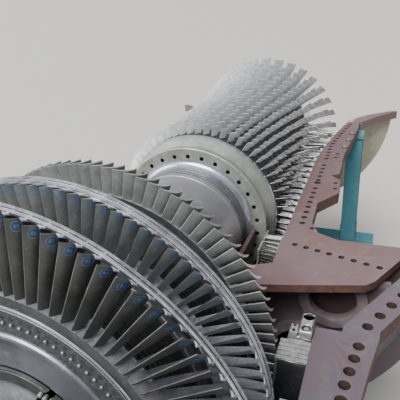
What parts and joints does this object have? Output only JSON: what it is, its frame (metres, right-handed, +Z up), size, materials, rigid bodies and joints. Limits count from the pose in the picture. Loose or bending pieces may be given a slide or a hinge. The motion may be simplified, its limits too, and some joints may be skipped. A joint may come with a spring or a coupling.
{
  "type": "gas turbine rotor in its open lower casing",
  "caption": "Heavy gas turbine rotor with an axial compressor and three turbine rows, turning in bearings in the open lower half of its casing on a steel base.",
  "frame": {"origin": "centre of the base on the floor, under the middle of the rotor's length", "axes": "+X along the rotor axis from the exhaust end to the air inlet end, +Y to the left seen from the exhaust end, +Z up"},
  "size_m": [8.73, 4.8666, 4],
  "materials": {
    "dark_blades": "dark satin oxide on cast blades",
    "bright_blades": "blasted bright steel",
    "rotor_steel": "machined forging, slightly stained",
    "casing_primer": "dusty purple-brown primer with rust at the edges",
    "white_metal": "bright machined",
    "base_paint": "worn teal-blue paint"
  },
  "bodies": {
    "casing": {"aft_bearing_lower": "white_metal", "aft_support_frame": "base_paint", "base_rail_left": "base_paint", "base_rail_right": "base_paint", "combustion_wrapper_lower": "casing_primer", "compressor_casing_aft_lower": "casing_primer", "compressor_casing_forward_lower": "casing_primer", "discharge_casing_lower": "casing_primer", "exhaust_frame_lower": "casing_primer", "exit_guide_vanes_lower": "rotor_steel", "first_row_shroud_lower": "white_metal", "forward_bearing_lower": "white_metal", "forward_support_frame": "base_paint", "inlet_casing_lower": "casing_primer", "inner_barrel_lower": "casing_primer", "middle_row_shroud_lower": "white_metal", "turbine_shell_lower": "casing_primer"},
    "rotor": {"aft_stub_shaft": "rotor_steel", "aft_turbine_spacer": "rotor_steel", "compressor_aft_flange": "rotor_steel", "compressor_wheel_01": "bright_blades", "compressor_wheel_02": "bright_blades", "compressor_wheel_03": "bright_blades", "compressor_wheel_04": "bright_blades", "compressor_wheel_05": "bright_blades", "compressor_wheel_06": "bright_blades", "compressor_wheel_07": "bright_blades", "compressor_wheel_08": "bright_blades", "compressor_wheel_09": "bright_blades", "compressor_wheel_10": "bright_blades", "compressor_wheel_11": "bright_blades", "compressor_wheel_12": "bright_blades", "compressor_wheel_13": "bright_blades", "compressor_wheel_14": "bright_blades", "compressor_wheel_15": "bright_blades", "compressor_wheel_16": "bright_blades", "compressor_wheel_17": "bright_blades", "distance_piece": "rotor_steel", "first_turbine_wheel": "dark_blades", "forward_stub_shaft": "rotor_steel", "forward_turbine_spacer": "rotor_steel", "last_turbine_wheel": "dark_blades", "middle_turbine_wheel": "dark_blades"}
  },
  "joints": [
    {"name": "rotor_turn", "type": "hinge", "parent": "casing", "child": "rotor", "pos_m": [0, 0, 2.6], "axis": [1, 0, 0], "continuous": true}
  ]
}
